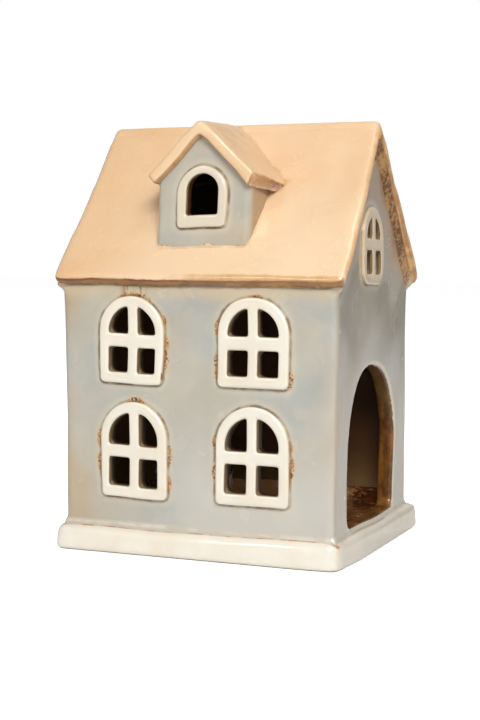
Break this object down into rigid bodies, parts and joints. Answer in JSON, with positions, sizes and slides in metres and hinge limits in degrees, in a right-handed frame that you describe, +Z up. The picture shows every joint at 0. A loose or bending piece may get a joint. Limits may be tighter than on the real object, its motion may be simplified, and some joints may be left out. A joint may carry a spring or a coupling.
{
  "type": "tealight house",
  "caption": "Glazed ceramic house that holds a tealight: gabled roof with a dormer, round-headed framed windows, an arched doorway in one gable for the candle, and a low plinth.",
  "frame": {"origin": "centre of the plinth's foot, on the surface that the house stands on", "axes": "+Z up; -Y out of the windowed front; +X out of the gable with the doorway"},
  "size_m": [0.142, 0.1204, 0.1976],
  "materials": {
    "peach_glaze": "glossy",
    "grey_blue_glaze": "glossy",
    "cream_glaze": "glossy",
    "brown_glaze": "glossy",
    "cup_aluminium": "pressed",
    "candle_wax": "satin",
    "tab_steel": "plain",
    "wick_cotton": "braided"
  },
  "bodies": {
    "house": {"roof_front_slab": "peach_glaze", "roof_rear_slab": "peach_glaze", "dormer_roof_left": "peach_glaze", "dormer_roof_right": "peach_glaze", "front_wall": "grey_blue_glaze", "rear_wall": "grey_blue_glaze", "left_gable_wall": "grey_blue_glaze", "right_gable_wall": "grey_blue_glaze", "dormer_front": "grey_blue_glaze", "dormer_left_cheek": "grey_blue_glaze", "dormer_right_cheek": "grey_blue_glaze", "base_plinth": "cream_glaze", "window_frame_lower_left": "cream_glaze", "window_frame_lower_right": "cream_glaze", "window_frame_upper_left": "cream_glaze", "window_frame_upper_right": "cream_glaze", "window_frame_gable": "cream_glaze", "window_frame_dormer": "cream_glaze", "floor_slab": "brown_glaze"},
    "tealight": {"tealight_cup": "cup_aluminium", "tealight_wax": "candle_wax", "tealight_wick_tab": "tab_steel", "tealight_wick": "wick_cotton"}
  },
  "joints": [
    {"name": "tealight_slide", "type": "slide", "parent": "house", "child": "tealight", "axis": [1, 0, 0], "range_m": [0, 0.118]}
  ]
}
